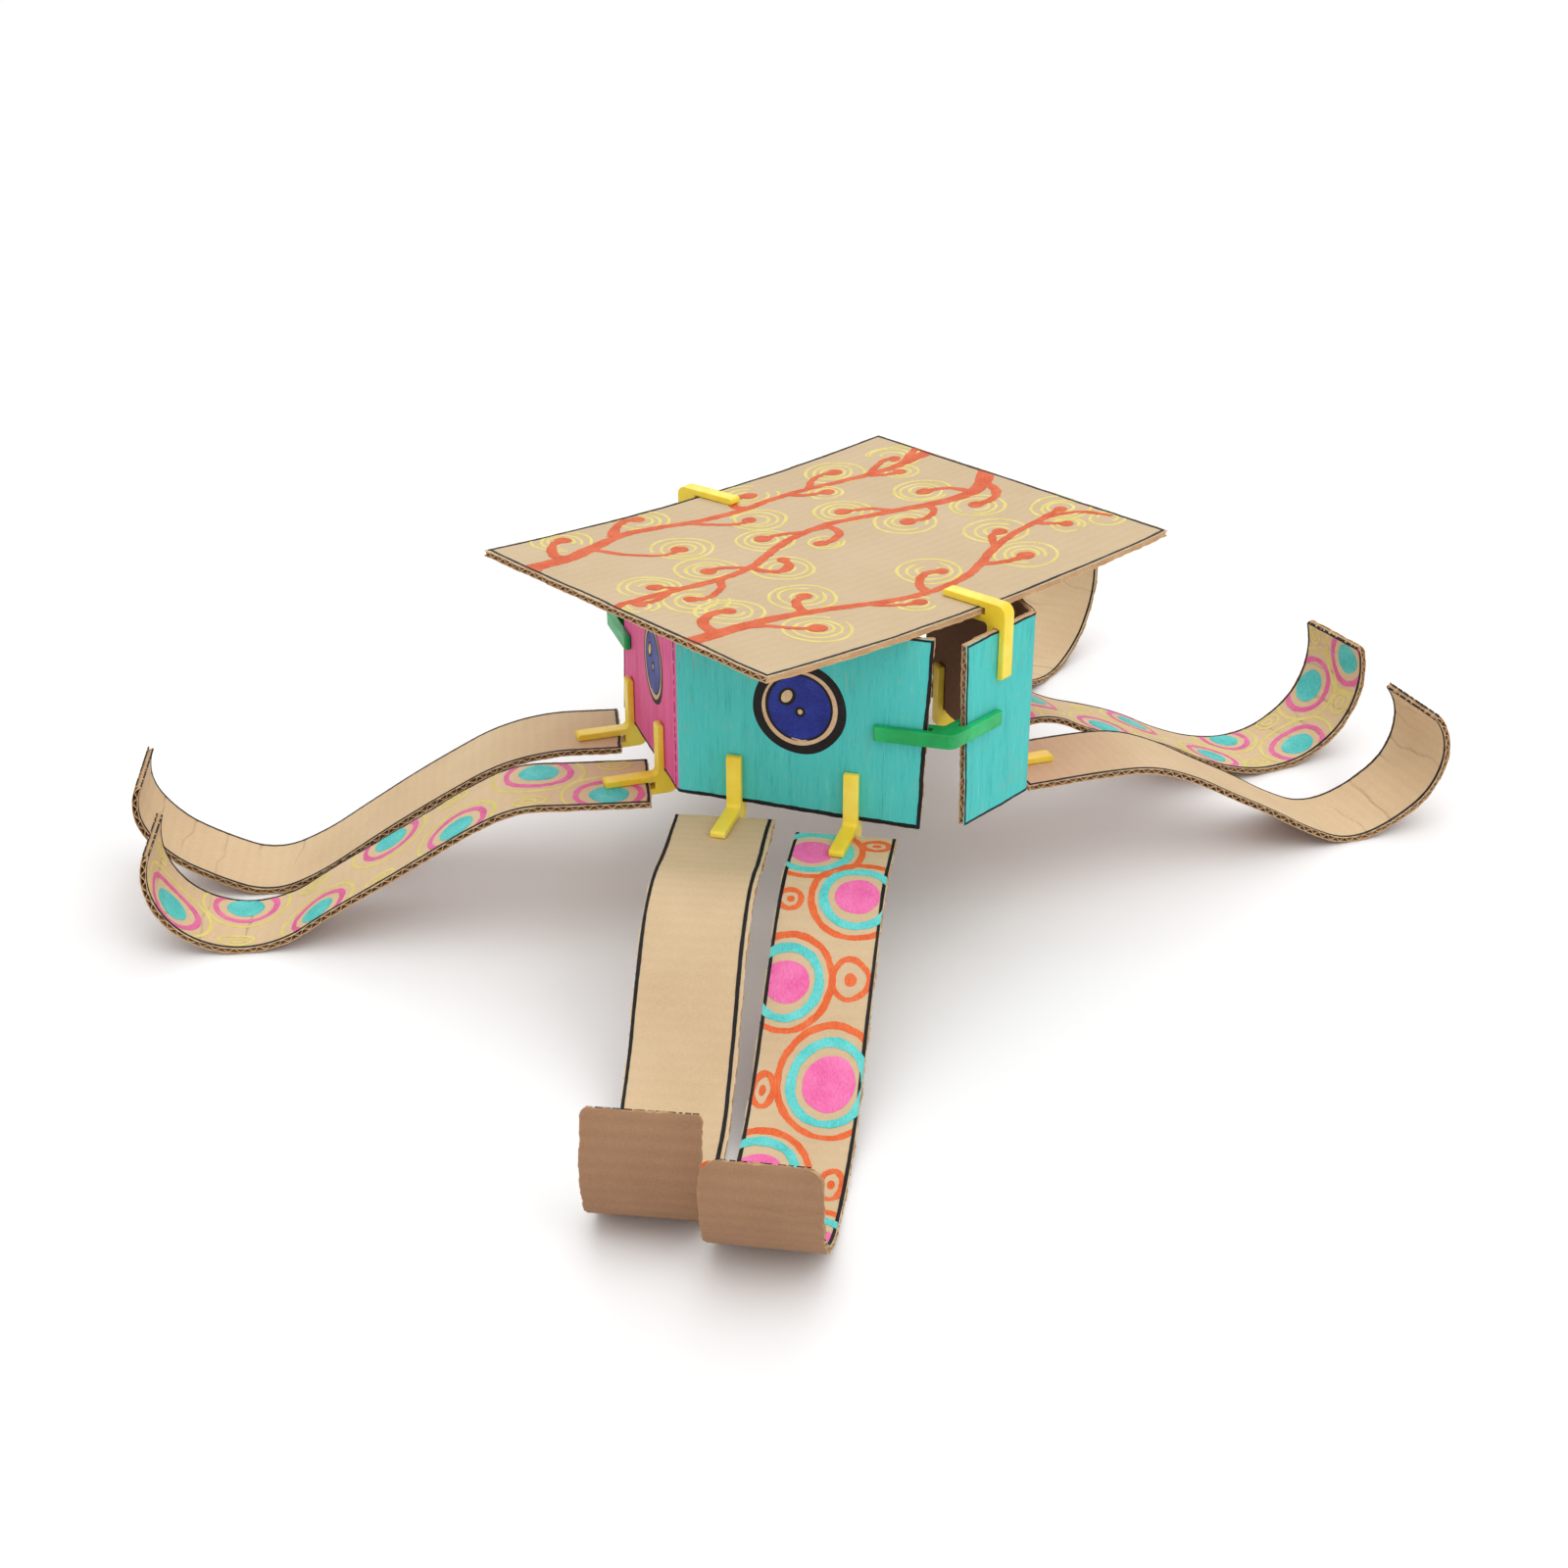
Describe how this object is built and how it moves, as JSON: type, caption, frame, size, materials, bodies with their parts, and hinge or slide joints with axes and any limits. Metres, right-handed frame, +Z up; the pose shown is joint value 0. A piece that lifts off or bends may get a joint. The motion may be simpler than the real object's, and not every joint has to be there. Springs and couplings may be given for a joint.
{
  "type": "cardboard octopus kit",
  "caption": "Clip-together cardboard octopus: a patterned roof sheet on a six-sided painted head with curved strip tentacles held by push-on plastic clips.",
  "frame": {"origin": "middle of the whole object's footprint box, on the surface that the tentacles stand on", "axes": "+Z up, -Y towards the front wall with the eye, +X to the right seen from the front"},
  "size_m": [0.7178, 0.7444, 0.188],
  "materials": {
    "roof_board": "corrugated board with painted coral vines and pale yellow rings",
    "head_board": "corrugated board brushed with turquoise or pink poster paint outside, bare brown inside",
    "plain_strip": "bare corrugated board with marker-lined edges",
    "painted_strip": "corrugated board with painted discs and rings",
    "yellow_clip": "moulded satin plastic",
    "green_clip": "moulded satin plastic"
  },
  "bodies": {
    "head": {"head_front_sheet": "head_board", "head_right_sheet": "head_board", "head_back_sheet": "head_board", "joint_clip_front": "green_clip", "joint_clip_back": "green_clip", "joint_clip_left": "green_clip"},
    "roof": {"roof_panel": "roof_board", "roof_clip_front": "yellow_clip", "roof_clip_back": "yellow_clip"},
    "clip_front_plain": {"tentacle_clip_front_plain": "yellow_clip"},
    "arm_front_plain": {"tentacle_front_plain": "plain_strip"},
    "clip_front_painted": {"tentacle_clip_front_painted": "yellow_clip"},
    "arm_front_painted": {"tentacle_front_painted": "painted_strip"},
    "clip_left_plain": {"tentacle_clip_left_plain": "yellow_clip"},
    "arm_left_plain": {"tentacle_left_plain": "plain_strip"},
    "clip_left_painted": {"tentacle_clip_left_painted": "yellow_clip"},
    "arm_left_painted": {"tentacle_left_painted": "painted_strip"},
    "clip_right_plain": {"tentacle_clip_right_plain": "yellow_clip"},
    "arm_right_plain": {"tentacle_right_plain": "plain_strip"},
    "clip_right_painted": {"tentacle_clip_right_painted": "yellow_clip"},
    "arm_right_painted": {"tentacle_right_painted": "painted_strip"},
    "clip_back_plain": {"tentacle_clip_back_plain": "yellow_clip"},
    "arm_back_plain": {"tentacle_back_plain": "plain_strip"},
    "clip_back_painted": {"tentacle_clip_back_painted": "yellow_clip"},
    "arm_back_painted": {"tentacle_back_painted": "painted_strip"}
  },
  "joints": [
    {"name": "roof_lift", "type": "slide", "parent": "head", "child": "roof", "axis": [0, 0, 1], "range_m": [0, 0.03]},
    {"name": "clip_front_plain_pull", "type": "slide", "parent": "head", "child": "clip_front_plain", "axis": [0, 0, -1], "range_m": [0, 0.028]},
    {"name": "arm_front_plain_swing", "type": "hinge", "parent": "clip_front_plain", "child": "arm_front_plain", "pos_m": [-0.03998, -0.09237, 0.07386], "axis": [0, 0, 1], "range_deg": [-18, 0.2]},
    {"name": "clip_front_painted_pull", "type": "slide", "parent": "head", "child": "clip_front_painted", "axis": [0, 0, -1], "range_m": [0, 0.028]},
    {"name": "arm_front_painted_swing", "type": "hinge", "parent": "clip_front_painted", "child": "arm_front_painted", "pos_m": [0.01767, -0.10823, 0.07184], "axis": [0, 0, 1], "range_deg": [-0.2, 7]},
    {"name": "clip_left_plain_pull", "type": "slide", "parent": "head", "child": "clip_left_plain", "axis": [0, 0, -1], "range_m": [0, 0.028]},
    {"name": "arm_left_plain_swing", "type": "hinge", "parent": "clip_left_plain", "child": "arm_left_plain", "pos_m": [-0.10397, 0.00479, 0.075], "axis": [0, 0, 1], "range_deg": [-6, 1]},
    {"name": "clip_left_painted_pull", "type": "slide", "parent": "head", "child": "clip_left_painted", "axis": [0, 0, -1], "range_m": [0, 0.028]},
    {"name": "arm_left_painted_swing", "type": "hinge", "parent": "clip_left_painted", "child": "arm_left_painted", "pos_m": [-0.08542, -0.05121, 0.075], "axis": [0, 0, 1], "range_deg": [-1, 18]},
    {"name": "clip_right_plain_pull", "type": "slide", "parent": "head", "child": "clip_right_plain", "axis": [0, 0, -1], "range_m": [0, 0.028]},
    {"name": "arm_right_plain_swing", "type": "hinge", "parent": "clip_right_plain", "child": "arm_right_plain", "pos_m": [0.10836, -0.01954, 0.069], "axis": [0, 0, 1], "range_deg": [-10, 4]},
    {"name": "clip_right_painted_pull", "type": "slide", "parent": "head", "child": "clip_right_painted", "axis": [0, 0, -1], "range_m": [0, 0.028]},
    {"name": "arm_right_painted_swing", "type": "hinge", "parent": "clip_right_painted", "child": "arm_right_painted", "pos_m": [0.08663, 0.0449, 0.069], "axis": [0, 0, 1], "range_deg": [-4, 7]},
    {"name": "clip_back_plain_pull", "type": "slide", "parent": "head", "child": "clip_back_plain", "axis": [0, 0, -1], "range_m": [0, 0.028]},
    {"name": "arm_back_plain_swing", "type": "hinge", "parent": "clip_back_plain", "child": "arm_back_plain", "pos_m": [0.03114, 0.09441, 0.069], "axis": [0, 0, 1], "range_deg": [-5, 8]},
    {"name": "clip_back_painted_pull", "type": "slide", "parent": "head", "child": "clip_back_painted", "axis": [0, 0, -1], "range_m": [0, 0.028]},
    {"name": "arm_back_painted_swing", "type": "hinge", "parent": "clip_back_painted", "child": "arm_back_painted", "pos_m": [-0.03232, 0.10409, 0.069], "axis": [0, 0, 1], "range_deg": [-8, 5]}
  ]
}
